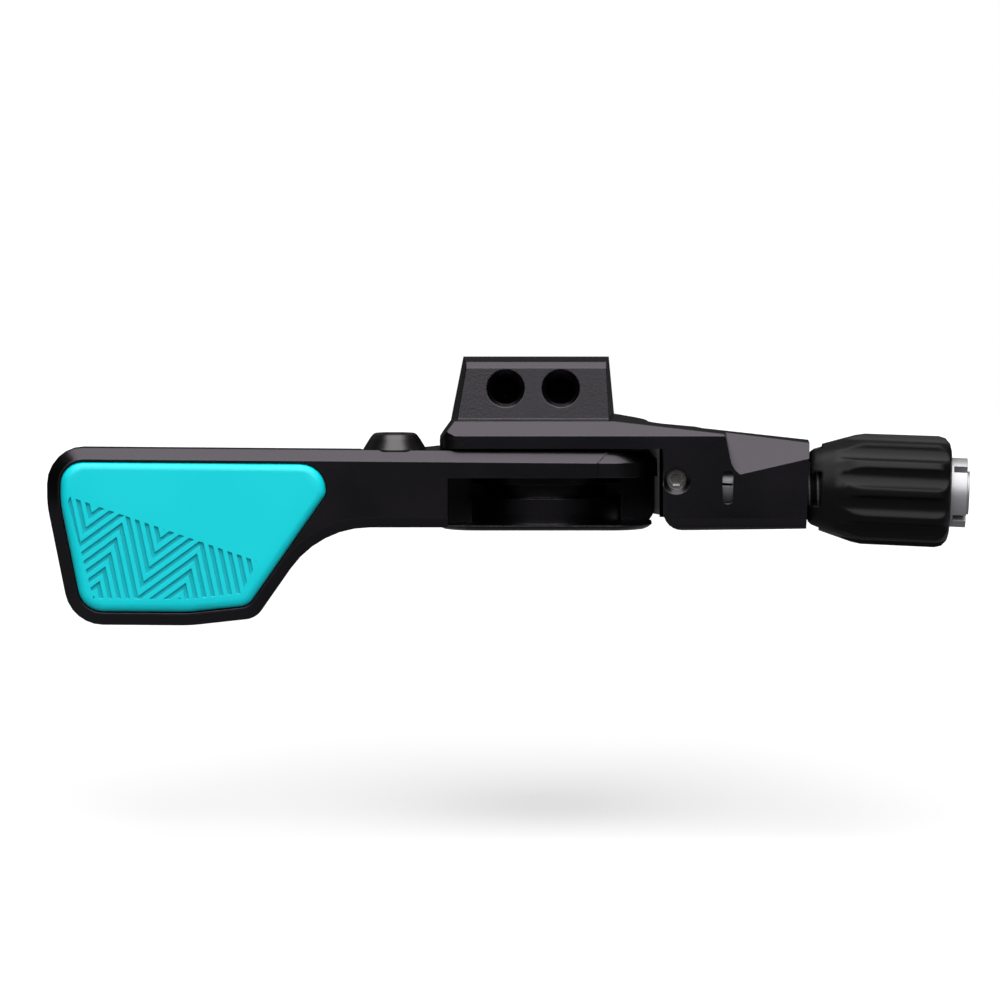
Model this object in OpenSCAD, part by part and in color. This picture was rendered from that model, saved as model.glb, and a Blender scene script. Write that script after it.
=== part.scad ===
// Dropper post remote lever: a thumb lever under a clamp block winds up the post's control cable.
// Millimetres. The origin lies midway between the two threaded mounting holes, on the block's
// front face. +X runs towards the cable adjuster, +Y away from the thumb and +Z up.

/* [Mounting block] */
// Distance between the two threaded mounting holes
hole_spacing = 6.15; // [5.6:0.05:7]
// Tapping diameter of the mounting holes
hole_d = 3.3; // [2.5:0.1:3.6]
// Depth of the mounting holes
hole_depth = 7; // [5:0.5:8]
// Width of the countersunk rim round each mounting hole
hole_rim = 0.5; // [0.2:0.1:0.7]
// Backward lean of the block's front face in degrees
face_lean = 8; // [0:1:12]
// Reach of the block's foot to the left of the holes' midpoint
block_foot_left = 9.3; // [8.5:0.1:9.8]
// Reach of the block's foot to the right of the holes' midpoint
block_foot_right = 9.2; // [8.5:0.1:9.8]
// Reach of the block's crown to the left of the holes' midpoint
block_crown_left = 7.8; // [6.8:0.1:8.4]
// Reach of the block's crown to the right of the holes' midpoint
block_crown_right = 8.5; // [6.8:0.1:9]
// Height of the block's crown above the holes
block_crown = 2.9; // [2.6:0.1:4]
// Depth of the block from front to back
block_depth = 9.6; // [8.5:0.1:11]
// Bevel along the top of the block's front face
block_bevel = 0.65; // [0.3:0.05:1]
// Draft on each side of the block from its back to its front face
block_draft = 0.7; // [0.3:0.05:1]
// Rise of the block's top from front to back
block_rise = 0.25; // [0:0.05:0.4]

/* [Bracket plate] */
// Distance from the holes down to the plate's flat top
plate_drop = 3.4; // [3:0.1:4]
// Height of the plate's front wall
plate_wall_h = 1.45; // [1:0.05:2.2]
// Thickness of the plate
plate_t = 3; // [2.6:0.1:3.6]
// Distance from the holes forward to the plate's front wall
plate_front = 7.4; // [6.8:0.1:8]
// Reach of the plate to the left of the holes' midpoint
plate_left = 10.4; // [9.8:0.1:11]
// Overlap of the plate's back past the pivot
plate_back = 11.6; // [10.5:0.1:12.4]
// Corner radius at the plate's front left
plate_corner_r = 2.2; // [0.5:0.1:3]
// Downward fall of the plate's top towards the adjuster in degrees
ridge_fall = 6.3; // [4:0.1:7]

/* [Pivot] */
// Distance of the pivot to the right of the holes' midpoint
pivot_x = 1.2; // [0:0.1:2]
// Distance of the pivot behind the block's front face
pivot_y = 4; // [3.6:0.1:4.6]
// Bore of the sealed bearing
bearing_bore = 6; // [5.6:0.1:6.2]
// Outside diameter of the sealed bearing
bearing_od = 12; // [11.8:0.1:12.4]
// Width of the sealed bearing
bearing_w = 4; // [3.8:0.1:4.2]
// Diameter of the bearing's balls
ball_d = 1.588; // [1.4:0.002:1.6]
// Number of balls in the bearing
ball_count = 9; // [6:1:9]
// Thread diameter of the pivot bolt
pivot_thread_d = 5; // [4:0.5:5]
// Length of the pivot bolt's thread
pivot_thread_len = 5.2; // [4:0.1:5.4]
// Head diameter of the pivot bolt
pivot_head_d = 8.4; // [8:0.1:8.8]
// Head height of the pivot bolt
pivot_head_h = 1.7; // [1.2:0.1:1.8]
// Hexagon socket of the pivot bolt across its flats
pivot_hex = 4; // [3:0.5:5]
// Thickness of the shim on each side of the bearing
shim_t = 0.2; // [0.1:0.05:0.3]
// Thickness of the retaining ring under the bearing
circlip_t = 0.8; // [0.6:0.1:1]

/* [Lever hub] */
// Diameter of the lever's hub
hub_d = 25.2; // [25:0.1:25.6]
// Radius of the hub's two front corners
hub_corner_r = 5.5; // [4:0.25:7]
// Height of the hub
hub_h = 8.8; // [8.6:0.1:9.2]
// Running gap between the hub and the plate
deck_gap = 0.35; // [0.25:0.05:0.5]
// Diameter of the cable drum inside the hub's recess
drum_d = 17.2; // [16.6:0.1:18]
// Diameter of the bottom of the cable groove
groove_d = 14.2; // [14:0.1:14.6]
// Width of the cable groove
groove_w = 1.5; // [1.2:0.1:1.8]
// Distance from the hub's top down to the top of the recess
recess_drop = 2.85; // [2.5:0.05:3]
// Distance from the holes' midpoint left to the end of the recess
recess_left = 9.5; // [9:0.1:10]
// Thickness of the lip below the recess
hub_lip = 0.6; // [0.5:0.1:0.9]
// Travel of the lever in degrees
lever_travel = 40; // [25:1:45]

/* [Lever arm and paddle] */
// Reach of the paddle to the left of the holes' midpoint
paddle_reach = 54; // [50:0.5:58]
// Height of the paddle at its left end
paddle_h = 19.7; // [18:0.1:22]
// Distance from the paddle's left end to the knee where the arm begins
knee_x = 30.25; // [29.5:0.25:31]
// Height of the arm
arm_h = 8.4; // [8:0.1:8.6]
// Thickness of the paddle and the arm
paddle_t = 5; // [4.5:0.1:5.6]
// Rise of the top edge from the hub to the paddle's end
top_rise = 0.5; // [0:0.1:0.8]
// Width of the bevel round the lever's front
lever_bevel = 1.2; // [0.8:0.1:1.3]
// Width of the bevel round the lever's back
back_bevel = 0.6; // [0.3:0.1:0.8]

/* [Thumb pad] */
// Border of bare metal between the paddle's edge and the pad
pad_border = 1.4; // [1.3:0.05:1.8]
// Distance from the holes to the pad's right end
pad_end = 22.9; // [22:0.1:25]
// Depth of the pad's seat in the paddle
pad_seat = 1; // [0.8:0.1:1.4]
// Height that the pad stands proud of the paddle
pad_proud = 0.45; // [0.3:0.05:0.8]
// Radius of the pad's rounded rim
pad_rim = 0.9; // [0.6:0.1:1]
// Gap round the pad in its seat
pad_gap = 0.12; // [0.05:0.01:0.2]
// Diameter of the pad's three locating studs
stud_d = 2.4; // [2:0.1:3]
// Width of the grip grooves
grip_w = 0.45; // [0.3:0.05:0.6]
// Distance between neighbouring grip grooves
grip_pitch = 0.95; // [0.8:0.05:1.4]
// Depth of the grip grooves
grip_depth = 0.3; // [0.2:0.05:0.4]

/* [Cable clamp] */
// Distance of the pinch bolt to the left of the holes' midpoint
pinch_x = 15.4; // [15:0.1:17]
// Thread diameter of the pinch bolt
pinch_thread_d = 4; // [3:0.5:4]
// Head diameter of the pinch bolt
pinch_head_d = 7; // [6:0.1:7]
// Head height of the pinch bolt
pinch_head_h = 1.95; // [1.4:0.05:2.2]
// Hexagon socket of the pinch bolt across its flats
pinch_hex = 2.5; // [2:0.5:2.5]
// Depth of the pinch bolt's socket
pinch_socket = 1.3; // [1:0.1:1.5]
// Diameter of the control cable
cable_d = 1.2; // [1.1:0.1:1.3]
// Clearance of the cable in its drilled hole
cable_gap = 0.3; // [0.2:0.05:0.4]

/* [Adjuster] */
// Distance from the holes to the boss's right end
boss_end = 30.5; // [29:0.1:32]
// Width of the boss along the cable
boss_w = 16.1; // [15.6:0.1:16.1]
// Depth of the boss from front to back
boss_d = 8.9; // [8.6:0.1:9.4]
// Distance from the holes down to the adjuster's axis at the boss
adjuster_drop = 10.8; // [10.6:0.05:11]
// Downward tilt of the adjuster in degrees
adjuster_tilt = 2.3; // [0:0.1:3]
// Thread diameter of the adjuster
adjuster_thread_d = 6; // [5.6:0.1:6]
// Depth of the adjuster's thread in the boss
adjuster_depth = 10.8; // [10:0.1:11.2]
// Travel of the adjuster
adjuster_travel = 4; // [2:0.5:4.5]
// Length of the knob
knob_len = 15.75; // [14:0.05:18]
// Diameter of the knob
knob_d = 12.4; // [12:0.1:14]
// Diameter of the knob's nose beside the boss
knob_nose_d = 9.1; // [9:0.1:10]
// Wall of the knob's nose round the adjuster
knob_wall = 1; // [0.8:0.05:1.1]
// Length of the knob's conical nose
knob_nose_len = 5.4; // [4.5:0.1:6]
// Number of flutes round the knob
flute_count = 12; // [8:1:16]
// Depth of the flutes
flute_depth = 0.75; // [0.4:0.05:1]
// Gap between the knob and the boss
knob_gap = 0.15; // [0.1:0.05:0.3]
// Diameter of the slotted crown at the adjuster's end
crown_d = 7.7; // [7.4:0.1:8.4]
// Length of the slotted crown
crown_len = 1.8; // [1.2:0.1:2.4]
// Width of the slots in the crown
crown_slot = 0.9; // [0.6:0.1:1.2]
// Bore of the socket that takes the cable housing
housing_d = 4.2; // [4:0.1:4.3]
// Depth of the socket that takes the cable housing
housing_depth = 9; // [6:0.5:10]
// Sliding clearance round turning and sliding pieces
running_gap = 0.05; // [0.03:0.01:0.08]

/* [Hidden] */
$fn = 64;
// Room that a cutter takes past the surface it cuts
over = 1;
// Points on each rounded corner of an outline
corner_n = 7;

// Levels of the plate, the hub and the bearing
plate_top = -plate_drop;
plate_under = plate_top - plate_t;
deck = plate_under - deck_gap;
hub_r = hub_d / 2;
hub_bottom = deck - hub_h;
recess_top = deck - recess_drop;
recess_bottom = hub_bottom + hub_lip;
groove_z = deck - 4.6;
bearing_top = groove_z + bearing_w / 2;
bearing_bottom = bearing_top - bearing_w;

// Rings of the bearing
pitch_r = (bearing_bore + bearing_od) / 4 + 0.05;
race_t = (bearing_od - bearing_bore) / 6;
inner_race_r = bearing_bore / 2 + race_t;
outer_race_r = bearing_od / 2 - race_t + 0.1;
ball_r = ball_d / 2;
ball_gap = 0.02;
seal_t = 0.3;
cage_h = 2.4;
cage_gap = 0.14;
circlip_lip = 0.4;
circlip_r = outer_race_r - 0.1;

// Lever faces and the line of the cable
hub_flat = 0.3;
lever_front = pivot_y - hub_r + hub_flat;
paddle_back = lever_front + paddle_t;
cable_y = pivot_y - groove_d / 2 - cable_d / 2;
cable_hole_d = cable_d + 2 * cable_gap;
arm_bottom = deck - arm_h;
paddle_end = -paddle_reach;
lever_end = pivot_x + hub_r - hub_corner_r;
hub_front = lever_front + 0.1;
paddle_top = deck + top_rise;

// Corners of the lever seen from the thumb's side: across, up, radius
lever_corners = [
    [paddle_end, paddle_top, 4],
    [paddle_end, paddle_top - 6.3, 12],
    [paddle_end + 2.7, paddle_top - paddle_h, 4.3],
    [paddle_end + 15.9, paddle_top - paddle_h - 0.1, 20],
    [paddle_end + 23.2, paddle_top - paddle_h + 0.7, 2.4],
    [paddle_end + knee_x, arm_bottom, 10.7],
    [lever_end, arm_bottom, 0.2],
    [lever_end, deck, 0.2]
];

// Corners of the pad's seat, inside the lever's outline
seat_inset = inset(lever_corners, pad_border);
seat_foot = seat_inset[4];
seat_knee = seat_inset[5];
seat_slope = (seat_knee.y - seat_foot.y) / (seat_knee.x - seat_foot.x);
seat_side = seat_foot.y + (-pad_end - seat_foot.x) * seat_slope;
seat_corners = [
    seat_inset[0],
    seat_inset[1],
    seat_inset[2],
    seat_inset[3],
    [seat_foot.x, seat_foot.y, 1.9],
    [-pad_end, seat_side, 1.7],
    [-pad_end, seat_inset[0].y - 0.25, 3]
];
pad_corners = inset(seat_corners, pad_gap);
pad_face = lever_front - pad_proud;
pad_floor = lever_front + pad_seat;
stud_len = 2.2;
stud_places = [
    [paddle_end + 6, paddle_top - 5.5],
    [seat_corners[6].x - 5.1, paddle_top - 5.5],
    [paddle_end + 10, paddle_top - 15.5]
];

// Zigzag grip: the two slopes of a chevron, and its corners from left to right
rise_dir = [cos(36), sin(36)];
fall_dir = [cos(78), -sin(78)];
grip_start = [paddle_end + 2.5, paddle_top - 5.65];
grip_legs = [5.3, 6.5, 8.4, 8.1, 11.8, 8];
grip_shift = equal_shift(rise_dir, fall_dir);
grip_margin = 1.5;
grip_edge_left = [paddle_end + 2.2, paddle_top - 5.3];
grip_edge_right = [paddle_end + 23.4, paddle_top - 12.6];

// Adjuster: lengths along its axis, measured from the boss's end face
adjuster_y = boss_d / 2 - plate_front;
thread_r = adjuster_thread_d / 2;
core_r = knob_nose_d / 2 - knob_wall;
core_end = knob_gap + knob_len + crown_len;
ferrule_r = housing_d / 2 + 0.3;
ferrule_proud = 0.3;
ferrule_floor = core_end + ferrule_proud - housing_depth - 1;
neck_depth = 5.2;
o_ring_r = 0.35;
sleeve_start = 1.5;
notch_depth = 1.3;
notch_w = 3.8;
boss_left = boss_end - boss_w;
boss_bottom = hub_bottom;
boss_gap = 0.5;

// Upright edge left at the plate's left end, under its bevel
plate_edge = 0.9;
// Height of the root's underside over the boss's
root_rise = 1.1;

// Direction to the left of the edge from a to b
function left_of(a, b) = let (d = b - a) [-d.y, d.x] / norm(d);
// A corner's coordinates without its radius
function flat(c) = [c.x, c.y];
// The same corners, each edge moved in by d, with the radii to match
function inset(corners, d) = let (n = len(corners)) [
    for (i = [0 : n - 1])
        let (
            p = flat(corners[i]),
            before = left_of(flat(corners[(i + n - 1) % n]), p),
            after = left_of(p, flat(corners[(i + 1) % n])),
            turn = cross(before, after),
            q = p + d * (before + after) / (1 + before * after),
            r = turn > 0 ? max(corners[i].z - d, 0.05) : corners[i].z + d
        )
        [q.x, q.y, r]
];
// v turned by an angle
function turned(v, a) = [v.x * cos(a) - v.y * sin(a), v.x * sin(a) + v.y * cos(a)];
// Outline through the corners, taken anticlockwise, with each one rounded
function rounded(corners, points = corner_n) = let (n = len(corners)) [
    for (i = [0 : n - 1])
        let (
            p = flat(corners[i]),
            before = left_of(flat(corners[(i + n - 1) % n]), p),
            after = left_of(p, flat(corners[(i + 1) % n])),
            side = cross(before, after) > 0 ? 1 : -1,
            reach = side * corners[i].z,
            middle = p + reach * (before + after) / (1 + before * after),
            angle = side * acos(min(1, before * after))
        )
        for (k = [0 : points - 1])
            middle - reach * turned(before, angle * k / (points - 1))
];
// Shift that moves both slopes of a zigzag sideways by the same distance
function equal_shift(rise, fall) = let (
    a = [-rise.y, rise.x],
    b = [-fall.y, fall.x],
    k = cross(a, b)
) [(b.y - a.y) / k, (a.x - b.x) / k];
// Corners of a zigzag that starts at p and takes the legs one after another
function zigzag(p, legs, i = 0) = i == len(legs) ? [p] : concat(
    [p],
    zigzag(p + legs[i] * (i % 2 == 0 ? fall_dir : rise_dir), legs, i + 1)
);
// The points in reverse order
function backwards(points) = [for (i = [len(points) - 1 : -1 : 0]) points[i]];
// An outline seen from the thumb's side, stood up at depth y
function stood(outline, y) = [for (p = outline) [p.x, y, p.y]];

// Skin over a stack of rings from the front one to the back one, each anticlockwise seen from
// the front. Each end is a fan from the ring's first point, which has to see all the others.
module loft(rings) {
    n = len(rings[0]);
    last = (len(rings) - 1) * n;
    sides = [
        for (k = [0 : len(rings) - 2], i = [0 : n - 1])
            let (j = (i + 1) % n, a = k * n, b = a + n)
            each [[a + i, a + j, b + j], [a + i, b + j, b + i]]
    ];
    front = [for (i = [1 : n - 2]) [0, i + 1, i]];
    back = [for (i = [1 : n - 2]) [last, last + i, last + i + 1]];
    polyhedron(points = [for (r = rings) each r], faces = concat(front, sides, back), convexity = 6);
}

// Extrudes a profile seen from the front, from depth y0 back to y1
module along_y(y0, y1) {
    translate([0, y1, 0])
        rotate([90, 0, 0])
            linear_extrude(y1 - y0)
                children();
}

// Extrudes a profile of depth and height, from x0 to x1
module along_x(x0, x1) {
    translate([x0, 0, 0])
        rotate([90, 0, 90])
            linear_extrude(x1 - x0)
                children();
}

// Stands its children on the pivot's axis at height z
module at_pivot(z = 0) {
    translate([pivot_x, pivot_y, z])
        children();
}

// Lays its children's Z along the adjuster, with zero at the boss's end face
module at_adjuster(z = 0) {
    translate([boss_end, adjuster_y, -adjuster_drop])
        rotate([0, 90 + adjuster_tilt, 0])
            translate([0, 0, z])
                children();
}

// Flat ring or tube
module ring(outer_r, inner_r, h) {
    difference() {
        cylinder(r = outer_r, h = h);
        translate([0, 0, -over])
            cylinder(r = inner_r, h = h + 2 * over);
    }
}

// Hexagon across its flats
module hexagon(flats, h) {
    cylinder(d = flats / cos(30), h = h, $fn = 6);
}

module mounting_holes() {
    for (side = [-1, 1])
        rotate([90 - face_lean, 0, 0])
            translate([side * hole_spacing / 2, 0, 0]) {
                translate([0, 0, -hole_depth])
                    cylinder(d = hole_d, h = hole_depth + over);
                translate([0, 0, -hole_rim])
                    cylinder(d1 = hole_d, d2 = hole_d + 2 * (hole_rim + over), h = hole_rim + over);
            }
}

// Corners of the block's section at depth y behind its front face, with the top moved down by
// top_in. The front face leans back, and the sides spread with their draft.
function block_ring(y, top_in, lean) = let (
    side_in = block_draft * (1 - y / block_depth),
    top = block_crown - top_in + block_rise * y / block_depth
) [
    for (c = [
        [-block_foot_left + side_in, plate_top - over],
        [block_foot_right - side_in, plate_top - over],
        [block_crown_right - side_in / 2, top],
        [-block_crown_left + side_in / 2, top]
    ]) [c.x, y + c.y * tan(lean), c.y]
];

module block() {
    loft([
        block_ring(0, block_bevel, face_lean),
        block_ring(block_bevel, 0, face_lean),
        block_ring(block_depth, 0, 0)
    ]);
}

// The plate over the lever's hub: a front wall, a slope up to the block and a flat top
module plate() {
    wall_top = plate_under + plate_wall_h;
    back = pivot_y + plate_back;
    right = pivot_x + plate_back;
    boss_back = boss_d - plate_front;
    intersection() {
        along_x(-plate_left, boss_end)
            polygon([
                [-plate_front, plate_under],
                [back, plate_under],
                [back, plate_top],
                [0.5, plate_top],
                [-plate_front, wall_top]
            ]);
        translate([0, 0, plate_under - over])
            linear_extrude(plate_t + 2 * over)
                polygon(rounded([
                    [-plate_left, -plate_front, plate_corner_r],
                    [boss_end + over, -plate_front, 0.2],
                    [boss_end + over, boss_back, 0.2],
                    [right, boss_back, 2.5],
                    [right, back, plate_back - 1],
                    [-plate_left, back, plate_back - 1]
                ]));
    }
}

// The body round the adjuster's thread, with rounded lower edges
module boss() {
    back = boss_d - plate_front;
    top = plate_under + plate_wall_h;
    intersection() {
        along_y(-plate_front, back)
            polygon(rounded([
                [boss_left, boss_bottom, 2.2],
                [boss_end + over, boss_bottom + 0.25, 0.2],
                [boss_end + over, top, 0.2],
                [boss_left, top, 0.2]
            ]));
        along_x(boss_left - over, boss_end + 2 * over)
            polygon(rounded([
                [-plate_front, boss_bottom, 1.6],
                [back, boss_bottom, 2.6],
                [back, top, 0.8],
                [-plate_front, top, 0.1]
            ]));
    }
}

// Root that ties the boss to the plate round the back of the hub
module boss_root() {
    back = boss_d - plate_front;
    difference() {
        translate([0, 0, boss_bottom + root_rise])
            linear_extrude(plate_top - over - boss_bottom - root_rise)
                polygon([
                    [pivot_x + hub_r - 1.4, pivot_y],
                    [boss_left + 0.6, back - over],
                    [boss_left + 4.5, back - over],
                    [boss_left + 4.5, back],
                    [boss_left + 0.4, pivot_y + 5.6],
                    [pivot_x + hub_r - 1.4, pivot_y + 6.4]
                ]);
        at_pivot(hub_bottom - over)
            cylinder(r = hub_r + boss_gap, h = plate_under - hub_bottom + over);
    }
}

// Everything above the ridge that falls towards the adjuster
module above_ridge() {
    translate([block_foot_right - 0.2, -plate_front - over, plate_top])
        rotate([0, ridge_fall, 0])
            cube([boss_end, plate_front + pivot_y + plate_back, 8]);
}

// The slanting scoop that is milled off the boss beside the adjuster
module scoop() {
    translate([23.2, -plate_front, boss_bottom + 6.4])
        rotate([0, -13, 0])
            rotate([45, 0, 0])
                linear_extrude(10)
                    polygon(rounded([
                        [-1, -0.15, 1.4],
                        [boss_w, -0.15, 0.2],
                        [boss_w, boss_w, 0.2],
                        [-0.4, boss_w, 0.2]
                    ]));
}

module bracket() {
    color([0.07, 0.07, 0.08])
        difference() {
            union() {
                difference() {
                    union() {
                        plate();
                        boss();
                        boss_root();
                    }
                    above_ridge();
                    scoop();
                    translate([-plate_left, -plate_front - over, plate_under + plate_edge])
                        rotate([0, -52, 0])
                            cube([4 * plate_t, plate_front + pivot_y + plate_back + 2 * over, 2 * plate_t]);
                    at_adjuster()
                        translate([-boss_w, -boss_w, 0])
                            cube(2 * boss_w);
                }
                block();
                at_pivot(bearing_top + shim_t)
                    cylinder(r = inner_race_r - 0.1, h = plate_under - bearing_top);
            }
            mounting_holes();
            at_pivot(bearing_top - over)
                cylinder(d = bearing_bore + 0.04, h = shim_t + over + 0.8);
            at_pivot(bearing_top)
                cylinder(d = pivot_thread_d + 0.04, h = shim_t + 0.8 + pivot_thread_len + 0.3);
            at_pivot(deck - 2)
                translate(stop_place)
                    cylinder(d = stop_d, h = 2 + deck_gap + 2);
            at_adjuster(-adjuster_depth)
                cylinder(r = thread_r + running_gap, h = adjuster_depth + over);
            at_adjuster(-neck_depth)
                cylinder(r = thread_r + 0.6, h = neck_depth + over);
            at_adjuster(-boss_w - 2)
                cylinder(d = cable_hole_d + 0.6, h = boss_w);
            set_screw_space();
            sight_window();
        }
}

// Pin that ends the lever's travel, and its place round the pivot
stop_d = 2;
stop_r = 9.6;
stop_angle = 60;
stop_place = [stop_r * cos(stop_angle), stop_r * sin(stop_angle), 0];
stop_proud = 1.6;
stop_slot_w = stop_d + 0.4;

// Set screw in the boss's front, over the cable
screw_d = 2.2;
screw_x = boss_left + 1.5;
screw_z = -9.85;
module set_screw_space() {
    translate([screw_x, -plate_front - over, screw_z])
        rotate([-90, 0, 0])
            cylinder(d = screw_d, h = boss_d / 2 + over);
}

// Upright slot in the boss's front that shows the inner end of the adjuster's thread
window_w = 1.2;
window_h = 3.7;
module sight_window() {
    x = boss_end - adjuster_depth + 1.9;
    along_y(-plate_front - over, adjuster_y) {
        translate([x - window_w / 2, -10.65 - (window_h - window_w) / 2])
            square([window_w, window_h - window_w]);
        for (end = [-1, 1])
            translate([x, -10.65 + end * (window_h - window_w) / 2])
                circle(d = window_w);
    }
}

module pivot_bolt() {
    head = bearing_bottom - shim_t - pivot_head_h;
    shoulder = pivot_head_h + shim_t + bearing_w + shim_t + 0.8;
    color([0.35, 0.35, 0.37])
        at_pivot(head)
            difference() {
                union() {
                    cylinder(d1 = pivot_head_d - 0.6, d2 = pivot_head_d, h = 0.3);
                    translate([0, 0, 0.3])
                        cylinder(d = pivot_head_d, h = pivot_head_h - 0.3);
                    cylinder(d = bearing_bore, h = shoulder);
                    cylinder(d = pivot_thread_d, h = shoulder + pivot_thread_len);
                }
                translate([0, 0, -over])
                    hexagon(pivot_hex, over + 2.6);
            }
}

module pivot_shim_upper() {
    color([0.7, 0.7, 0.72])
        at_pivot(bearing_top)
            ring(inner_race_r - 0.1, bearing_bore / 2 + 0.02, shim_t);
}

module pivot_shim_lower() {
    color([0.7, 0.7, 0.72])
        at_pivot(bearing_bottom - shim_t)
            ring(inner_race_r - 0.1, bearing_bore / 2 + 0.02, shim_t);
}

// Track that the balls run in, cut into both races
module ball_track() {
    translate([0, 0, bearing_w / 2])
        rotate_extrude()
            translate([pitch_r, 0])
                circle(r = ball_r + ball_gap);
}

module bearing_inner_race() {
    color([0.75, 0.75, 0.78])
        at_pivot(bearing_bottom)
            difference() {
                ring(inner_race_r, bearing_bore / 2, bearing_w);
                ball_track();
            }
}

module bearing_outer_race() {
    color([0.75, 0.75, 0.78])
        at_pivot(bearing_bottom)
            difference() {
                ring(bearing_od / 2, outer_race_r, bearing_w);
                ball_track();
            }
}

module bearing_balls() {
    color([0.85, 0.85, 0.88])
        at_pivot(bearing_bottom + bearing_w / 2)
            for (i = [0 : ball_count - 1])
                rotate(i * 360 / ball_count)
                    translate([pitch_r, 0, 0])
                        sphere(r = ball_r);
}

module bearing_cage() {
    color([0.2, 0.45, 0.3])
        at_pivot(bearing_bottom + (bearing_w - cage_h) / 2)
            difference() {
                ring(outer_race_r - cage_gap, inner_race_r + cage_gap, cage_h);
                for (i = [0 : ball_count - 1])
                    rotate(i * 360 / ball_count)
                        translate([inner_race_r - over, 0, cage_h / 2])
                            rotate([0, 90, 0])
                                cylinder(r = ball_r + 0.06, h = outer_race_r - inner_race_r + 2 * over);
            }
}

module bearing_seal_upper() {
    color([0.1, 0.1, 0.1])
        at_pivot(bearing_top - 0.1 - seal_t)
            ring(outer_race_r, inner_race_r + 0.06, seal_t);
}

module bearing_seal_lower() {
    color([0.1, 0.1, 0.1])
        at_pivot(bearing_bottom + 0.1)
            ring(outer_race_r, inner_race_r + 0.06, seal_t);
}

// Open spring ring in the groove under the bearing
module bearing_circlip() {
    color([0.3, 0.3, 0.32])
        at_pivot(bearing_bottom - circlip_t)
            difference() {
                ring(bearing_od / 2 + circlip_lip, circlip_r, circlip_t);
                translate([0, -1.2, -over])
                    cube([bearing_od, 2.4, circlip_t + 2 * over]);
            }
}

module stop_pin() {
    color([0.6, 0.6, 0.62])
        at_pivot(deck - stop_proud)
            translate(stop_place)
                cylinder(d = stop_d, h = stop_proud + deck_gap + 2);
}

module set_screw() {
    color([0.6, 0.6, 0.62])
        translate([screw_x, -plate_front + 1.5, screw_z])
            rotate([-90, 0, 0])
                difference() {
                    cylinder(d = screw_d, h = 2.2);
                    translate([0, 0, -over])
                        hexagon(1.3, over + 1);
                }
}

// Plate of the paddle and the arm, bevelled front and back
module lever_plate() {
    front = rounded(inset(lever_corners, lever_bevel));
    edge = rounded(lever_corners);
    back = rounded(inset(lever_corners, back_bevel));
    loft([
        stood(front, lever_front),
        stood(edge, lever_front + lever_bevel),
        stood(edge, paddle_back - back_bevel),
        stood(back, paddle_back)
    ]);
}

// Web that widens the arm into the back of the hub along an arc
module lever_web() {
    r = 17;
    middle = [
        pivot_x - sqrt(pow(r + hub_r, 2) - pow(paddle_back + r - pivot_y, 2)),
        paddle_back - 0.3 + r
    ];
    last = atan2(pivot_y - middle.y, pivot_x - middle.x);
    arc = [for (k = [0 : 12]) middle + r * [cos(-90 + (last + 90) * k / 12), sin(-90 + (last + 90) * k / 12)]];
    translate([0, 0, arm_bottom])
        linear_extrude(arm_h)
            polygon(concat([[middle.x, paddle_back - 1.5]], arc, [[pivot_x, pivot_y]], [[pivot_x, paddle_back - 1.5]]));
}

// Corners of the hub's plan: a straight front in line with the lever's, and a round back
hub_corners = [
    [pivot_x - hub_r, hub_front, hub_corner_r],
    [pivot_x + hub_r, hub_front, hub_corner_r],
    [pivot_x + hub_r, pivot_y + hub_r, hub_r - 0.05],
    [pivot_x - hub_r, pivot_y + hub_r, hub_r - 0.05]
];
// The hub's plan, moved in by d and laid at height z
function hub_ring(d, z) = [for (p = rounded(inset(hub_corners, d), 13)) [p.x, p.y, z]];

// Hub with a bevelled top edge and a rounded lower edge
module hub() {
    lower_r = 2;
    loft(concat(
        [hub_ring(lever_bevel, deck), hub_ring(0, deck - lever_bevel)],
        [for (k = [0 : 6]) hub_ring(
            lower_r * (1 - cos(15 * k)),
            hub_bottom + lower_r * (1 - sin(15 * k))
        )]
    ));
}

// Recess in the hub's front for the cable drum, square at its left end. It runs far enough
// round to clear the cable when the lever is fully pushed.
module drum_recess() {
    first = 200;
    last = 330 + lever_travel;
    outside = hub_r + 8;
    difference() {
        at_pivot()
            rotate([0, 0, first])
                rotate_extrude(angle = last - first)
                    polygon([
                        [drum_d / 2, recess_bottom],
                        [outside, recess_bottom],
                        [outside, recess_top],
                        [drum_d / 2, recess_top],
                        [drum_d / 2, groove_z + groove_w / 2],
                        [groove_d / 2, groove_z + groove_w / 2],
                        [groove_d / 2, groove_z - groove_w / 2],
                        [drum_d / 2, groove_z - groove_w / 2]
                    ]);
        translate([pivot_x - 2 * outside, pivot_y - 2 * outside, hub_bottom])
            cube([2 * outside - recess_left - pivot_x, 3 * outside, hub_h]);
    }
}

// Curved slot in the hub's top in which the stop pin runs
module stop_slot() {
    at_pivot(deck - stop_proud - 0.4) {
        rotate([0, 0, stop_angle])
            rotate_extrude(angle = lever_travel)
                translate([stop_r - stop_slot_w / 2, 0])
                    square([stop_slot_w, stop_proud + 0.4 + over]);
        for (a = [0, lever_travel])
            rotate([0, 0, stop_angle + a])
                translate([stop_r, 0, 0])
                    cylinder(d = stop_slot_w - 0.06, h = stop_proud + 0.4 + over);
    }
}

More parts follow.
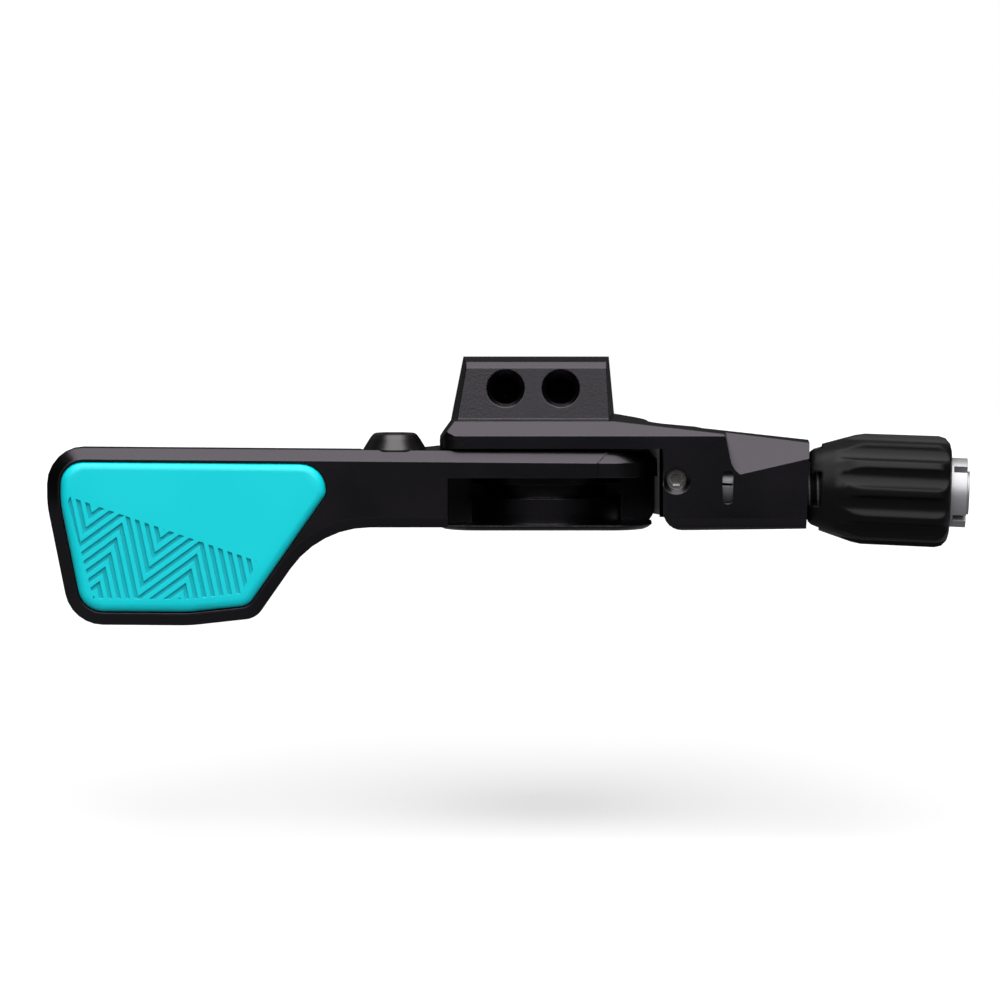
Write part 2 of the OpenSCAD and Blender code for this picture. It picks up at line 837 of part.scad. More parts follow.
module lever() {
    color([0.06, 0.06, 0.07])
        difference() {
            union() {
                lever_plate();
                lever_web();
                hub();
            }
            drum_recess();
            stop_slot();
            at_pivot(hub_bottom - over)
                cylinder(d = bearing_od, h = bearing_top - hub_bottom + over);
            at_pivot(hub_bottom)
                cylinder(r = inner_race_r + 0.7, h = hub_h + over);
            at_pivot(bearing_bottom - circlip_t)
                cylinder(r = bearing_od / 2 + circlip_lip, h = circlip_t);
            translate([-pinch_x, cable_y, groove_z - 1.2])
                cylinder(d = pinch_thread_d, h = hub_h);
            translate([-pinch_x, cable_y, deck])
                cylinder(d = pinch_head_d + 0.6, h = top_rise + over);
            translate([pivot_x - 5, cable_y, groove_z])
                rotate([0, -90, 0])
                    cylinder(d = cable_hole_d, h = pinch_x + pinch_head_d);
            loft([
                stood(rounded(seat_corners), lever_front - over),
                stood(rounded(seat_corners), pad_floor)
            ]);
            for (p = stud_places)
                translate([p.x, pad_floor - over, p.y])
                    rotate([-90, 0, 0])
                        cylinder(d = stud_d + 0.1, h = over + stud_len + 0.3);
        }
}

// Region of the pad that carries the grip grooves, under a slanting line
module grip_field() {
    rim = inset(pad_corners, grip_margin);
    polygon([
        grip_edge_left,
        flat(rim[2]),
        flat(rim[3]),
        flat(rim[4]),
        grip_edge_right
    ]);
}

// Nested zigzags at equal distances
module grip_grooves() {
    corners = zigzag(grip_start, grip_legs);
    half = grip_w / 2 * grip_shift;
    strip = concat([for (p = corners) p - half], backwards([for (p = corners) p + half]));
    intersection() {
        along_y(pad_face - over, pad_face + grip_depth)
            grip_field();
        union()
            for (k = [-9 : 7])
                along_y(pad_face - over / 2, pad_face + grip_depth + over / 2)
                    translate(k * grip_pitch * grip_shift)
                        polygon(strip);
    }
}

module thumb_pad() {
    color([0.02, 0.82, 0.86])
        difference() {
            union() {
                loft(concat(
                    [for (k = [0 : 3]) stood(
                        rounded(inset(pad_corners, pad_rim * (1 - sin(30 * k)))),
                        pad_face + pad_rim * (1 - cos(30 * k))
                    )],
                    [stood(rounded(pad_corners), pad_floor)]
                ));
                for (p = stud_places)
                    translate([p.x, pad_floor - pad_seat / 2, p.y])
                        rotate([-90, 0, 0])
                            cylinder(d = stud_d, h = stud_len + pad_seat / 2);
            }
            grip_grooves();
        }
}

module pinch_bolt() {
    tip = groove_z + cable_d / 2 + 0.1;
    shank = deck - tip;
    r = pinch_head_d / 2;
    color([0.3, 0.3, 0.32])
        translate([-pinch_x, cable_y, tip])
            difference() {
                union() {
                    cylinder(d = pinch_thread_d, h = shank + 0.2);
                    translate([0, 0, shank])
                        rotate_extrude()
                            polygon([
                                [0, 0],
                                [r, 0],
                                [r, 0.2],
                                [r - 0.7, pinch_head_h - 0.6],
                                [r - 1.05, pinch_head_h - 0.15],
                                [r - 1.3, pinch_head_h],
                                [0, pinch_head_h]
                            ]);
                }
                translate([0, 0, shank + pinch_head_h - pinch_socket])
                    hexagon(pinch_hex, pinch_socket + over);
            }
}

module housing_ferrule() {
    tip = core_end + ferrule_proud;
    color([0.8, 0.8, 0.82])
        at_adjuster(ferrule_floor)
            difference() {
                cylinder(r = ferrule_r, h = tip - ferrule_floor);
                translate([0, 0, 1])
                    cylinder(d = housing_d, h = housing_depth + over);
                translate([0, 0, -over])
                    cylinder(d = cable_hole_d, h = 3 * over);
            }
}

// Threaded tube with a slotted crown. The boss holds its inner end and the knob its outer end.
module adjuster_core() {
    inner_end = 1.2 - adjuster_depth;
    color([0.75, 0.75, 0.77])
        at_adjuster(inner_end)
            difference() {
                union() {
                    cylinder(r = thread_r, h = core_end - inner_end - over);
                    translate([0, 0, knob_gap + sleeve_start - inner_end])
                        cylinder(r = core_r, h = core_end - knob_gap - sleeve_start - 0.1);
                    translate([0, 0, core_end - inner_end - crown_len])
                        cylinder(d = crown_d, h = crown_len);
                }
                translate([0, 0, -over])
                    cylinder(d = cable_hole_d + 0.4, h = core_end - inner_end);
                translate([0, 0, ferrule_floor - inner_end])
                    cylinder(r = ferrule_r + running_gap, h = core_end - ferrule_floor + over);
                translate([0, 0, 2.2 + adjuster_depth - neck_depth])
                    o_ring_groove();
                for (i = [0 : 3])
                    rotate(45 + 90 * i)
                        translate([0, -crown_slot / 2, core_end - inner_end - crown_len + 0.3])
                            cube([crown_d, crown_slot, crown_len]);
            }
}

// Shallow groove round the core, and the ring that sits in it and drags on the boss
module o_ring_groove() {
    rotate_extrude()
        translate([thread_r, 0])
            square([1, 2 * o_ring_r + 0.1], center = true);
}

module adjuster_o_ring() {
    color([0.05, 0.05, 0.05])
        at_adjuster(3.4 - neck_depth)
            rotate_extrude()
                translate([thread_r + 0.6 - o_ring_r - running_gap, 0])
                    circle(r = o_ring_r);
}

// Fluted moulding pressed over the core, with four notches in its nose
module adjuster_knob() {
    r = knob_d / 2;
    nose = knob_nose_d / 2;
    flute_r = 0.46 * PI * knob_d / flute_count;
    color([0.1, 0.1, 0.11])
        at_adjuster(knob_gap)
            difference() {
                rotate_extrude()
                    polygon([
                        [core_r, 0],
                        [nose - 0.3, 0],
                        [nose, 0.4],
                        [r - 0.25, knob_nose_len - 0.5],
                        [r - 0.05, knob_nose_len + 0.6],
                        [r, knob_len - 1.5],
                        [r - 0.2, knob_len - 0.75],
                        [r - 0.8, knob_len - 0.2],
                        [r - 1.5, knob_len],
                        [core_r, knob_len]
                    ]);
                for (i = [0 : flute_count - 1])
                    rotate((i + 0.5) * 360 / flute_count)
                        translate([r + flute_r - flute_depth, 0, -over])
                            cylinder(r = flute_r, h = knob_len + 2 * over);
                for (i = [0 : 3])
                    rotate(90 * i)
                        translate([0, -notch_w / 2, -over])
                            cube([knob_d, notch_w, notch_depth + over]);
            }
}

bracket();
pivot_bolt();
pivot_shim_upper();
pivot_shim_lower();
bearing_inner_race();
stop_pin();
set_screw();
lever();
thumb_pad();
pinch_bolt();
bearing_outer_race();
bearing_seal_upper();
bearing_seal_lower();
bearing_circlip();
bearing_balls();
bearing_cage();
housing_ferrule();
adjuster_core();
adjuster_knob();
adjuster_o_ring();
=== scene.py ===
# Dropper post remote lever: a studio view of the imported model, dressed in its real finishes.
# Metres. +X runs towards the cable adjuster, +Y away from the thumb and +Z up.
import math

import bmesh
import bpy
from mathutils import Matrix, Vector


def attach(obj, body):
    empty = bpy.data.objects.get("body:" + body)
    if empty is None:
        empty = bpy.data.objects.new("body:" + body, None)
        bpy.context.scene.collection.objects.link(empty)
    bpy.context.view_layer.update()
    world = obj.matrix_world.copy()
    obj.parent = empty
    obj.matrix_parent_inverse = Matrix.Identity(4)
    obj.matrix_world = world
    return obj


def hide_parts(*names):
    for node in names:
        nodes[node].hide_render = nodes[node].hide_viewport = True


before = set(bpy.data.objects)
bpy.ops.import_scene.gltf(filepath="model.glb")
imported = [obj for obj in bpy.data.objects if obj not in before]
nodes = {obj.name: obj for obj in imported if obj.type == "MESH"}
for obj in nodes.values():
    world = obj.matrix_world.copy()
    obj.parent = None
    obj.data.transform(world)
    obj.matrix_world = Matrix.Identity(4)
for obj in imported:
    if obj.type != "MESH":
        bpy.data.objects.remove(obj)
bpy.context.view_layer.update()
MM = 0.001

# Camera: it looks straight at the thumb's side from slightly above, through a long lens, so
# the edges stay parallel. One millimetre on the lever is nine pixels of the photograph.
photo_width = 1000 / 9.0 * MM
camera_distance = 1.6
camera_height = math.radians(3)
camera_aim = Vector((-3.7, -6, -12.15)) * MM
camera_way = Vector((0, -math.cos(camera_height), math.sin(camera_height)))

camera_data = bpy.data.cameras.new("camera")
camera_data.lens = camera_data.sensor_width * camera_distance / photo_width
camera_data.clip_start = 0.05
camera_data.clip_end = 50
camera = bpy.data.objects.new("camera", camera_data)
camera.rotation_euler = (math.radians(90) - camera_height, 0, 0)
camera.location = camera_aim + camera_distance * camera_way
bpy.context.scene.collection.objects.link(camera)
bpy.context.scene.camera = camera
bpy.context.scene.view_settings.view_transform = "Standard"


# White room: the background is white to the camera. Gloss that mirrors the room behind the
# part sees it dim, and dark towards the horizon, so that black metal keeps its depth.
def linear(colour):
    """An sRGB hex colour as linear red, green, blue and alpha."""
    values = [int(colour[i:i + 2], 16) / 255 for i in (1, 3, 5)]
    return [v / 12.92 if v <= 0.04045 else ((v + 0.055) / 1.055) ** 2.4 for v in values] + [1]


def add(tree, kind, sockets=None, **settings):
    """Adds a node, sets what it is given, and links or fills its sockets."""
    made = tree.nodes.new(kind)
    for name, value in settings.items():
        setattr(made, name, value)
    for name, value in (sockets or {}).items():
        if isinstance(value, bpy.types.NodeSocket):
            tree.links.new(value, made.inputs[name])
        else:
            made.inputs[name].default_value = value
    return made


# A Map Range node takes its value at 0, the range it comes from at 1 and 2, and the range it
# goes to at 3 and 4. A colour mix takes its factor at 0 and its colours at 6 and 7.
room_fill = 0.03
mirrored_glow = 0.15
mirrored_rise = (0.22, 0.5)
mirrored_back = (0.1, 0.5)
world = bpy.data.worlds.new("white_room")
world.use_nodes = True
bpy.context.scene.world = world
tree = world.node_tree
tree.nodes.clear()
path = add(tree, "ShaderNodeLightPath")
place = add(tree, "ShaderNodeTexCoord")
heading = add(tree, "ShaderNodeSeparateXYZ", {0: place.outputs["Generated"]})
rising = add(tree, "ShaderNodeMapRange",
             {0: heading.outputs["Z"], 1: mirrored_rise[0], 2: mirrored_rise[1], 4: mirrored_glow})
behind = add(tree, "ShaderNodeMapRange",
             {0: heading.outputs["Y"], 1: mirrored_back[0], 2: mirrored_back[1]})
behind = add(tree, "ShaderNodeMath", {0: behind.outputs[0], 1: rising.outputs[0]},
             operation="MULTIPLY")
mirrored = add(tree, "ShaderNodeMath", {0: path.outputs["Is Glossy Ray"], 1: behind.outputs[0]},
               operation="MULTIPLY")
seen = add(tree, "ShaderNodeMath", {0: path.outputs["Is Camera Ray"], 1: mirrored.outputs[0]},
           operation="MAXIMUM")
seen = add(tree, "ShaderNodeMath", {0: seen.outputs[0], 1: path.outputs["Is Transmission Ray"]},
           operation="MAXIMUM")
level = add(tree, "ShaderNodeMapRange", {0: seen.outputs[0], 3: room_fill, 4: 1.0})
sky = add(tree, "ShaderNodeBackground", {"Color": linear("#ffffff"), "Strength": level.outputs[0]})
add(tree, "ShaderNodeOutputWorld", {"Surface": sky.outputs[0]})

# Floor: a matt white board under the part, rising a little to the back. It takes the part's soft
# cast shadow. To the camera it also glows, least round a point 15 mm behind the part and more away
# from it until it is white, which paints a soft shadow on top of the cast one.
floor_drop = 48.3 * MM
floor_half = 300 * MM
floor_tilt = math.radians(6)
floor_glow = 0.34
glow_rise = 0.3
painted_shadow_reach = 0.25
painted_shadow_centre = (0, 15 * MM, 0)
painted_shadow_spread = (0.6, 1, 0)
floor_material = bpy.data.materials.new("matt_white_board")
floor_material.use_nodes = True
tree = floor_material.node_tree
tree.nodes.clear()
path = add(tree, "ShaderNodeLightPath")
place = add(tree, "ShaderNodeTexCoord")
# Painted shadow: the camera's glow is floor_glow at the painted shadow's centre and gains
# glow_rise by its reach, in an ellipse wider across than deep.
spot = add(tree, "ShaderNodeVectorMath", {0: place.outputs["Object"], 1: painted_shadow_centre},
           operation="SUBTRACT")
spot = add(tree, "ShaderNodeVectorMath", {0: spot.outputs[0], 1: painted_shadow_spread},
           operation="MULTIPLY")
away = add(tree, "ShaderNodeVectorMath", {0: spot.outputs[0]}, operation="LENGTH")
away = add(tree, "ShaderNodeMath", {0: away.outputs["Value"], 1: painted_shadow_reach}, operation="DIVIDE")
away = add(tree, "ShaderNodeMath", {0: away.outputs[0], 1: 0.7}, operation="POWER")
bright = add(tree, "ShaderNodeMapRange",
             {0: away.outputs[0], 3: floor_glow, 4: floor_glow + glow_rise})
glow = add(tree, "ShaderNodeMath", {0: path.outputs["Is Camera Ray"], 1: bright.outputs[0]},
           operation="MULTIPLY")
shade = add(tree, "ShaderNodeMix",
            {0: path.outputs["Is Camera Ray"], 6: linear("#757576"), 7: linear("#bcbcbd")},
            data_type="RGBA")
paint = add(tree, "ShaderNodeBsdfDiffuse", {"Color": shade.outputs[2]})
glowing = add(tree, "ShaderNodeEmission",
              {"Color": linear("#ffffff"), "Strength": glow.outputs[0]})
both = add(tree, "ShaderNodeAddShader", {0: paint.outputs[0], 1: glowing.outputs[0]})
add(tree, "ShaderNodeOutputMaterial", {"Surface": both.outputs[0]})
floor_mesh = bpy.data.meshes.new("floor")
floor_mesh.from_pydata(
    [(x * floor_half, y * floor_half, -floor_drop + y * floor_half * math.tan(floor_tilt))
     for x, y in ((-1, -1), (1, -1), (1, 1), (-1, 1))], [], [(0, 1, 2, 3)])
floor_mesh.materials.append(floor_material)
floor = bpy.data.objects.new("floor", floor_mesh)
bpy.context.scene.collection.objects.link(floor)


# Lamps: a large softbox above, which draws the bevels, and one in front and above the camera,
# which lights the pad, the knob's flutes and the paddle's rim.
def softbox(name, place, size, level):
    """A lamp at a place in metres, aimed at the part; level is the brightness of its face."""
    lamp = bpy.data.lights.new(name, "AREA")
    lamp.shape = "RECTANGLE"
    lamp.size, lamp.size_y = size
    lamp.energy = level * math.pi * size[0] * size[1]
    made = bpy.data.objects.new(name, lamp)
    made.location = place
    made.rotation_euler = (lamp_aim - Vector(place)).to_track_quat("-Z", "Y").to_euler()
    bpy.context.scene.collection.objects.link(made)


lamp_aim = Vector((0, 0, -0.01))
softbox("softbox_above", (0, -0.12, 1.0), (1.0, 0.85), 4.0)
softbox("softbox_front", (0, -0.80, 0.61), (1.2, 0.84), 3.5)


# Bracket: the clamp block, the plate over the hub and the boss are one billet of 6061
# aluminium, milled, blasted with fine beads and anodised black. Its edges are broken by hand.
def finish(name, **shader):
    """A new material: its principled shader with the plain values set on it, and its tree."""
    material = bpy.data.materials.new(name)
    material.use_nodes = True
    tree = material.node_tree
    tree.nodes.clear()
    surface = add(tree, "ShaderNodeBsdfPrincipled",
                  {key.replace("_", " "): value for key, value in shader.items()})
    add(tree, "ShaderNodeOutputMaterial", {"Surface": surface.outputs[0]})
    return material, tree, surface


def grained(tree, surface, grain, height, edge, rough, spread):
    """Gives a surface a fine grain, broken edges and an uneven gloss. Grain, height and edge are
    in millimetres. It returns its texture coordinates and its 12 mm clouds."""
    place = add(tree, "ShaderNodeTexCoord")
    noise = add(tree, "ShaderNodeTexNoise",
                {"Vector": place.outputs["Object"], "Scale": 1 / (grain * MM), "Detail": 3.0})
    rounded = add(tree, "ShaderNodeBevel", {"Radius": edge * MM}, samples=6)
    bump = add(tree, "ShaderNodeBump",
               {"Height": noise.outputs[0], "Normal": rounded.outputs[0],
                "Strength": 0.5, "Distance": height * MM})
    tree.links.new(bump.outputs[0], surface.inputs["Normal"])
    cloud = add(tree, "ShaderNodeTexNoise",
                {"Vector": place.outputs["Object"], "Scale": 1 / (12 * MM), "Detail": 4.0})
    gloss = add(tree, "ShaderNodeMapRange",
                {0: cloud.outputs[0], 1: 0.3, 2: 0.7, 3: rough - spread, 4: rough + spread})
    tree.links.new(gloss.outputs[0], surface.inputs["Roughness"])
    return place, cloud


# Beads leave dents of about 0.05 mm, drawn 0.28 mm wide so that they show as an even satin.
# The dyed skin is a warm black. Every edge is painted paler, a painted highlight along the edges.
black_anodised, tree, surface = finish("black_anodised_aluminium", Metallic=1.0)
place, cloud = grained(tree, surface, grain=0.28, height=0.02, edge=0.14, rough=0.3, spread=0.03)
skin = add(tree, "ShaderNodeMix",
           {0: cloud.outputs[0], 6: linear("#343235"), 7: linear("#3a373b")}, data_type="RGBA")
# Painted highlight: on every edge, where the rounded normal turns away from the flat one, the
# colour goes towards a pale grey.
outline = add(tree, "ShaderNodeBevel", {"Radius": 0.09 * MM}, samples=6)
plain = add(tree, "ShaderNodeNewGeometry")
match = add(tree, "ShaderNodeVectorMath", {0: outline.outputs[0], 1: plain.outputs["Normal"]},
            operation="DOT_PRODUCT")
painted_edge_highlight = add(tree, "ShaderNodeMapRange", {0: match.outputs["Value"], 1: 0.99, 2: 0.88, 4: 0.55})
skin = add(tree, "ShaderNodeMix",
           {0: painted_edge_highlight.outputs[0], 6: skin.outputs[2], 7: linear("#6d6a6e")}, data_type="RGBA")
tree.links.new(skin.outputs[2], surface.inputs["Base Color"])


def formed(name, shape):
    """A new object in the scene from a shape, with its faces turned outwards."""
    bmesh.ops.remove_doubles(shape, verts=shape.verts[:], dist=0.0001 * MM)
    bmesh.ops.recalc_face_normals(shape, faces=shape.faces[:])
    mesh = bpy.data.meshes.new(name)
    shape.to_mesh(mesh)
    shape.free()
    made = bpy.data.objects.new(name, mesh)
    bpy.context.scene.collection.objects.link(made)
    return made


def band(shape, lower, upper):
    """Joins two rings of points with a band of faces."""
    for a in range(len(lower)):
        b = (a + 1) % len(lower)
        shape.faces.new((lower[a], lower[b], upper[b], upper[a]))


def skinned(shape, rings):
    """Joins rings of points into one solid, closed at both ends."""
    for lower, upper in zip(rings, rings[1:]):
        band(shape, lower, upper)
    shape.faces.new(rings[0])
    shape.faces.new(rings[-1])


def turned_point(shape, place, r, t, z):
    """A new point at a radius, turn and height in millimetres from a placed axis."""
    return shape.verts.new(place @ Vector((r * math.cos(t), r * math.sin(t), z)) * MM)


def circle(shape, place, r, z, steps):
    """A ring of new points round a placed axis."""
    return [turned_point(shape, place, r, 2 * math.pi * k / steps, z) for k in range(steps)]


def lathe_cut(shape, place, profile):
    """Adds a turned solid to a shape; the profile runs radius and height from end to end."""
    skinned(shape, [circle(shape, place, r, z, 40) for r, z in profile])


def screw_thread(shape, place, minor, major, pitch, low, high, outside=None):
    """Adds a cutter with a V thread from low to high. Its rows of points follow the helix, four
    to a turn, and start two turns early. Without outside it cuts a tapped hole; with it, it is
    a ring that leaves a thread on a bar."""
    steps = 28
    flank = (minor + major) / 2
    ways = (minor, flank, major, flank)
    early = 2 * len(ways)
    flat = minor if outside is None else major
    rows = int((high - low) / pitch * len(ways)) + early + 1
    grid = {}
    for i in range(-early, rows):
        for k in range(steps):
            z = low + (i / len(ways) + k / steps) * pitch
            r = ways[i % len(ways)] if low < z < high else flat
            z = min(max(z, low), high)
            grid[i, k] = turned_point(shape, place, r, 2 * math.pi * k / steps, z)
    for i in range(-early, rows - 1):
        for k in range(steps):
            j, m = (i, k + 1) if k + 1 < steps else (i + len(ways), 0)
            if (j + 1, m) in grid:
                shape.faces.new((grid[i, k], grid[j, m], grid[j + 1, m], grid[i + 1, k]))
    first = [grid[-early, k] for k in range(steps)]
    last = [grid[rows - 1, k] for k in range(steps)]
    if outside is None:
        shape.faces.new(first)
        shape.faces.new(last)
        return
    shell = [circle(shape, place, outside, z, steps) for z in (low, high)]
    band(shape, first, shell[0])
    band(shape, shell[0], shell[1])
    band(shape, shell[1], last)


def settle(made):
    """Applies the modifiers of an object to its mesh."""
    seen = made.evaluated_get(bpy.context.evaluated_depsgraph_get())
    shape = bpy.data.meshes.new_from_object(seen)
    made.modifiers.clear()
    made.data = shape


def reshaped(name, body, material, added=None, removed=None):
    """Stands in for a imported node: a copy with its doubled points merged and its normals
    evened, and where they are given, with a solid fused on and others cut out of it."""
    made = bpy.data.objects.new("finished_" + name, nodes[name].data.copy())
    bpy.context.scene.collection.objects.link(made)
    shape = bmesh.new()
    shape.from_mesh(made.data)
    bmesh.ops.remove_doubles(shape, verts=shape.verts[:], dist=0.002 * MM)
    shape.to_mesh(made.data)
    shape.free()
    for kind, tool in (("UNION", added), ("DIFFERENCE", removed)):
        if tool:
            change = made.modifiers.new(kind.lower(), "BOOLEAN")
            change.operation = kind
            change.solver = "EXACT"
            change.object = tool
    settle(made)
    for tool in (added, removed):
        if tool:
            bpy.data.objects.remove(tool)
    if "custom_normal" in made.data.attributes:
        made.data.attributes.remove(made.data.attributes["custom_normal"])
    made.data.shade_smooth()
    made.data.set_sharp_from_angle(angle=math.radians(38))
    evened = made.modifiers.new("evened", "WEIGHTED_NORMAL")
    evened.keep_sharp = True
    settle(made)
    made.data.materials.clear()
    made.data.materials.append(material)
    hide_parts(name)
    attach(made, body)


# The plate's front edge carries a steep bevel from its wall to its flat top. It ends at the
# rounded corner on the left, and dies out in the ridge that falls to the adjuster.
plate_front = -7.4
plate_top = -3.4
wall_top = -4.95
bevel_run = 1.5
bevel_ends = (-11, 24)
bevel_back = 0.4
bevel_foot = 0.35
bevel_thickness = 0.5
wall_skin = 0.02
top_skin = 0.001
ridge_start = Vector((9, 0, plate_top))
ridge_fall = math.radians(6.3)
scoop_edge = Vector((21.2, 0, 0))
end_bevel_foot = Vector((-10.4, 0, -5.5))
end_bevel = math.radians(52)
corner = Vector((-8.2, -5.2, 0))
corner_r = 2.2
bevel = bmesh.new()
section = ((plate_front + wall_skin, wall_top), (plate_front + bevel_run, plate_top - top_skin),
           (bevel_back, plate_top - top_skin), (bevel_back, plate_top - bevel_thickness),
           (plate_front + wall_skin, wall_top - bevel_foot))
skinned(bevel, [[bevel.verts.new(Vector((x, y, z)) * MM) for y, z in section]
                for x in bevel_ends])
trims = [(ridge_start, Vector((math.sin(ridge_fall), 0, math.cos(ridge_fall)))),
         (scoop_edge, Vector((1, 0, 0))),
         (end_bevel_foot, Vector((-math.sin(end_bevel), 0, math.cos(end_bevel))))]
for turn in (202.5, 225, 247.5):
    out = Vector((math.cos(math.radians(turn)), math.sin(math.radians(turn)), 0))
    trims.append((corner + corner_r * out, out))
for point, out in trims:
    whole = bevel.verts[:] + bevel.edges[:] + bevel.faces[:]
    cut = bmesh.ops.bisect_plane(bevel, geom=whole, plane_co=point * MM, plane_no=out,
                                 clear_outer=True)
    rim = [edge for edge in cut["geom_cut"] if isinstance(edge, bmesh.types.BMEdge)]
    if rim:
        bmesh.ops.edgeloop_fill(bevel, edges=rim)
plate_bevel = formed("plate_bevel", bevel)

# The block's two holes are drilled square to its leaning face and tapped M4, and the cone of
# the drill stays at their bottom. The set screw's hole in the boss is countersunk.
face_lean = math.radians(8)
mounting_gap = 6.15
tap = {"minor": 1.64, "major": 1.98, "pitch": 0.7, "low": -6.6, "high": -0.45}
drill_point = ((1.63, -6.7), (1.63, -7.1), (0.05, -8.05))
set_screw_hole = (15.9, plate_front, -9.85)
countersink = ((1.0, -0.45), (1.1, -0.4), (1.6, 0), (1.6, 0.1))
tapped = bmesh.new()
for side in (-1, 1):
    hole = (Matrix.Rotation(math.radians(90) - face_lean, 4, "X")
            @ Matrix.Translation((side * mounting_gap / 2, 0, 0)))
    screw_thread(tapped, hole, **tap)
    lathe_cut(tapped, hole, drill_point)
hole = Matrix.Translation(set_screw_hole) @ Matrix.Rotation(math.radians(90), 4, "X")
lathe_cut(tapped, hole, countersink)
tapped_holes = formed("tapped_holes", tapped)
reshaped("bracket", "bracket", black_anodised, plate_bevel, tapped_holes)

# Lever: paddle, arm and hub are machined from one billet of the same aluminium, and blasted
# and anodised with the bracket. The hub turns on the bearing under the bracket's plate.
reshaped("lever", "lever", black_anodised)

# Thumb pad: thermoplastic rubber moulded in one colour and pressed into its seat. The tool was
# spark-eroded, so the skin is matt and paler at a low angle. The grooves' floors are painted a
# darker turquoise, a painted shade.
# The tool's pits are about 0.05 mm wide and are drawn 0.22 mm wide so that they show.
pad_face = -8.65 * MM
groove_start = -8.5 * MM
moulded_rubber, tree, surface = finish(
    "moulded_turquoise_rubber", Metallic=0.0, Specular_IOR_Level=0.35, Sheen_Weight=0.2,
    Sheen_Roughness=0.25)
place, cloud = grained(tree, surface, grain=0.22, height=0.02, edge=0.1, rough=0.42, spread=0.04)
wander = add(tree, "ShaderNodeMix",
             {0: cloud.outputs[0], 6: linear("#00d7e2"), 7: linear("#00dfe9")}, data_type="RGBA")
# Painted shade: the flat floors of the grooves, set back from the pad's face and facing the thumb,
# are mixed towards a darker turquoise.
deep = add(tree, "ShaderNodeSeparateXYZ", {0: place.outputs["Object"]})
deep = add(tree, "ShaderNodeMapRange", {0: deep.outputs["Y"], 1: pad_face, 2: groove_start})
flat = add(tree, "ShaderNodeSeparateXYZ", {0: place.outputs["Normal"]})
flat = add(tree, "ShaderNodeMapRange", {0: flat.outputs["Y"], 1: -0.95, 2: -0.99})
painted_groove_shade = add(tree, "ShaderNodeMath", {0: deep.outputs[0], 1: flat.outputs[0]},
             operation="MULTIPLY")
shaded = add(tree, "ShaderNodeMix",
             {0: painted_groove_shade.outputs[0], 6: wander.outputs[2], 7: linear("#00bcc8")}, data_type="RGBA")
tree.links.new(shaded.outputs[2], surface.inputs["Base Color"])
reshaped("thumb_pad", "lever", moulded_rubber)

# Adjuster knob: nylon with glass fibres, moulded and then pressed over the core. Its skin is a
# deep black with a low gloss, and every edge of its flutes is rounded by the tool.
moulded_nylon, tree, surface = finish("moulded_black_nylon", Base_Color=linear("#0b0b0d"),
                                      Metallic=0.0, Specular_IOR_Level=0.15)
grained(tree, surface, grain=0.3, height=0.02, edge=0.45, rough=0.38, spread=0.04)
reshaped("adjuster_knob", "knob", moulded_nylon)


# Pivot bolt, pinch bolt and spring ring: alloy steel, forged or stamped, hardened and given a
# thin skin of black oxide, which leaves them dark grey with a metal's gloss.
def dress(material, *names):
    """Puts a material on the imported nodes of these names."""
    for name in names:
        for slot in nodes[name].material_slots:
            slot.material = material


black_oxide, tree, surface = finish("black_oxide_steel", Base_Color=linear("#454344"),
                                    Metallic=1.0)
grained(tree, surface, grain=0.25, height=0.01, edge=0.1, rough=0.32, spread=0.04)
dress(black_oxide, "pivot_bolt", "pinch_bolt", "bearing_circlip")

# Bearing rings, balls, shims, stop pin and set screw: bright steel, hardened, then ground or
# polished, so they mirror what is round them with only a faint grain.
ground_steel, tree, surface = finish("ground_steel", Base_Color=linear("#cfcdca"), Metallic=1.0)
grained(tree, surface, grain=0.2, height=0.006, edge=0.08, rough=0.22, spread=0.04)
dress(ground_steel, "bearing_inner_race", "bearing_outer_race", "bearing_balls",
      "pivot_shim_upper", "pivot_shim_lower", "stop_pin", "set_screw")

# Adjuster core and housing ferrule: aluminium bar turned on a lathe and left silver, with a
# soft gloss. The roots of the core's thread, up to 2 mm outside the boss, are painted dark
# grey as painted shade, while its crests stay bright.
adjuster_point = Vector((30.5, -2.95, -10.8))
adjuster_dip = 2.3
thread_minor = 2.45
thread_major = 3.02
turned_aluminium, tree, surface = finish("turned_silver_aluminium", Metallic=0.7)
place, cloud = grained(tree, surface, grain=0.2, height=0.01, edge=0.1, rough=0.48, spread=0.04)
adjuster_way = Vector((math.cos(math.radians(adjuster_dip)), 0,
                       -math.sin(math.radians(adjuster_dip))))
reach = add(tree, "ShaderNodeVectorMath", {0: place.outputs["Object"], 1: adjuster_point * MM},
            operation="SUBTRACT")
along = add(tree, "ShaderNodeVectorMath", {0: reach.outputs[0], 1: adjuster_way},
            operation="DOT_PRODUCT")
off = add(tree, "ShaderNodeVectorMath", {0: reach.outputs[0], 1: adjuster_way},
          operation="CROSS_PRODUCT")
off = add(tree, "ShaderNodeVectorMath", {0: off.outputs[0]}, operation="LENGTH")
# Painted shade: below the thread's crest radius, and up to 2 mm past the adjuster point along its
# axis, the silver is mixed towards a dark grey.
root = add(tree, "ShaderNodeMapRange",
           {0: off.outputs["Value"], 1: thread_major * MM, 2: 2.8 * MM})
near = add(tree, "ShaderNodeMapRange", {0: along.outputs["Value"], 1: 2.0 * MM, 2: 1.6 * MM})
painted_thread_shade = add(tree, "ShaderNodeMath", {0: root.outputs[0], 1: near.outputs[0]},
             operation="MULTIPLY")
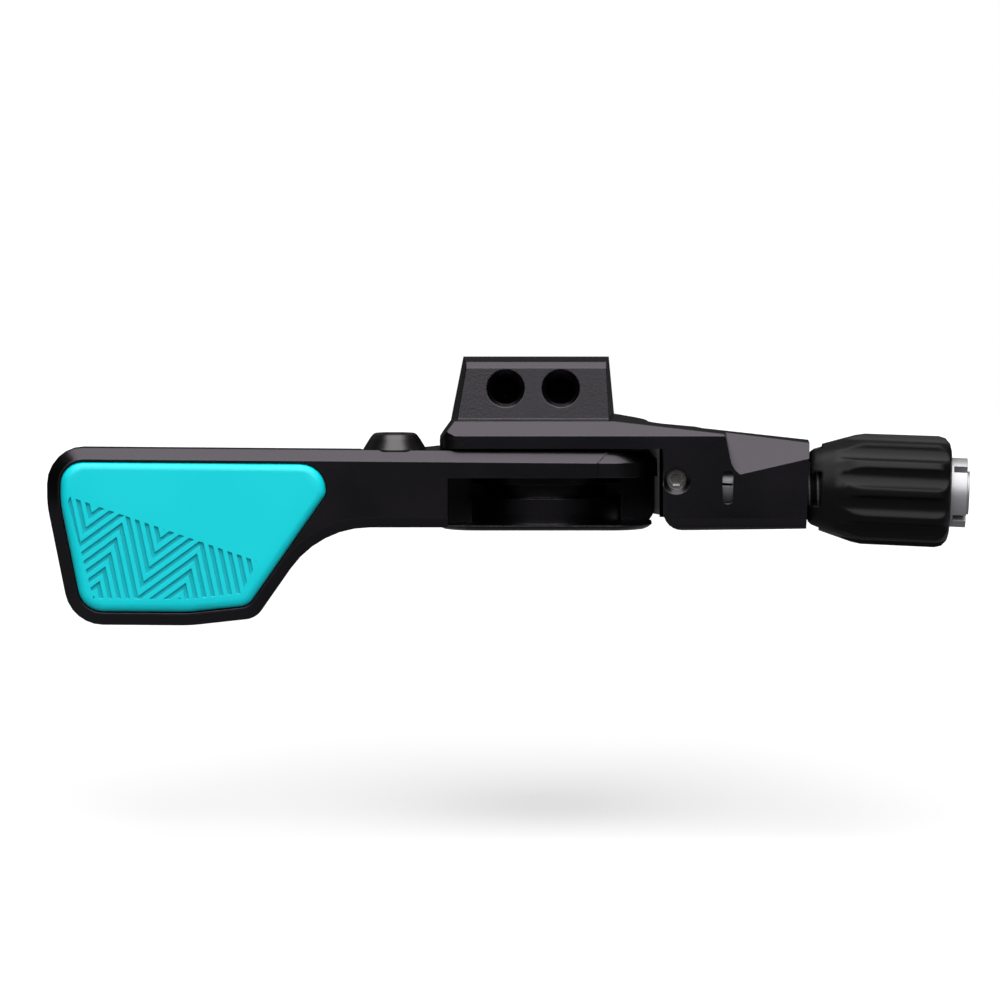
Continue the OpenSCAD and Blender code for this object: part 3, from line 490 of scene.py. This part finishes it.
silver = add(tree, "ShaderNodeMix",
             {0: cloud.outputs[0], 6: linear("#a6a6a9"), 7: linear("#b3b3b5")}, data_type="RGBA")
silver = add(tree, "ShaderNodeMix",
             {0: painted_thread_shade.outputs[0], 6: silver.outputs[2], 7: linear("#2a2a2b")},
             data_type="RGBA")
tree.links.new(silver.outputs[2], surface.inputs["Base Color"])
dress(turned_aluminium, "housing_ferrule")

# The core carries an M6 thread, 1 mm to a turn, on both sides of its O-ring's groove, and its
# inner end has a slit that holds the core still while the knob is pressed on.
thread_pitch = 1.0
thread_runs = ((-8.2, -2.6), (-1.1, 1.55))
slit_ends = (-9.7, -8.35)
slit_half_width = 0.13
slit_reach = 3.2
adjuster_line = (Matrix.Translation(adjuster_point)
                 @ Matrix.Rotation(math.radians(90 + adjuster_dip), 4, "Y"))
rolled = bmesh.new()
for low, high in thread_runs:
    screw_thread(rolled, adjuster_line, thread_minor, thread_major, thread_pitch, low, high,
                 outside=3.3)
skinned(rolled, [[rolled.verts.new(adjuster_line
                                   @ Vector((x * slit_half_width, y * slit_reach, z)) * MM)
                  for x, y in ((-1, -1), (1, -1), (1, 1), (-1, 1))] for z in slit_ends])
rolled_thread = formed("rolled_thread", rolled)
reshaped("adjuster_core", "knob", turned_aluminium, removed=rolled_thread)

# Seals and O-ring: nitrile rubber filled with carbon black, moulded in a plain tool and left
# as it comes, matt and nearly without a highlight.
nitrile, tree, surface = finish("black_nitrile_rubber", Base_Color=linear("#111112"),
                                Metallic=0.0)
grained(tree, surface, grain=0.25, height=0.01, edge=0.08, rough=0.6, spread=0.04)
dress(nitrile, "bearing_seal_upper", "bearing_seal_lower", "adjuster_o_ring")

# Ball cage: green nylon, moulded in one piece that snaps over the nine balls. It is seen only
# with the seals off, and has the low gloss of bare nylon.
cage_nylon, tree, surface = finish("moulded_green_nylon", Base_Color=linear("#2f6b4a"),
                                   Metallic=0.0)
grained(tree, surface, grain=0.25, height=0.01, edge=0.08, rough=0.45, spread=0.04)
dress(cage_nylon, "bearing_cage")
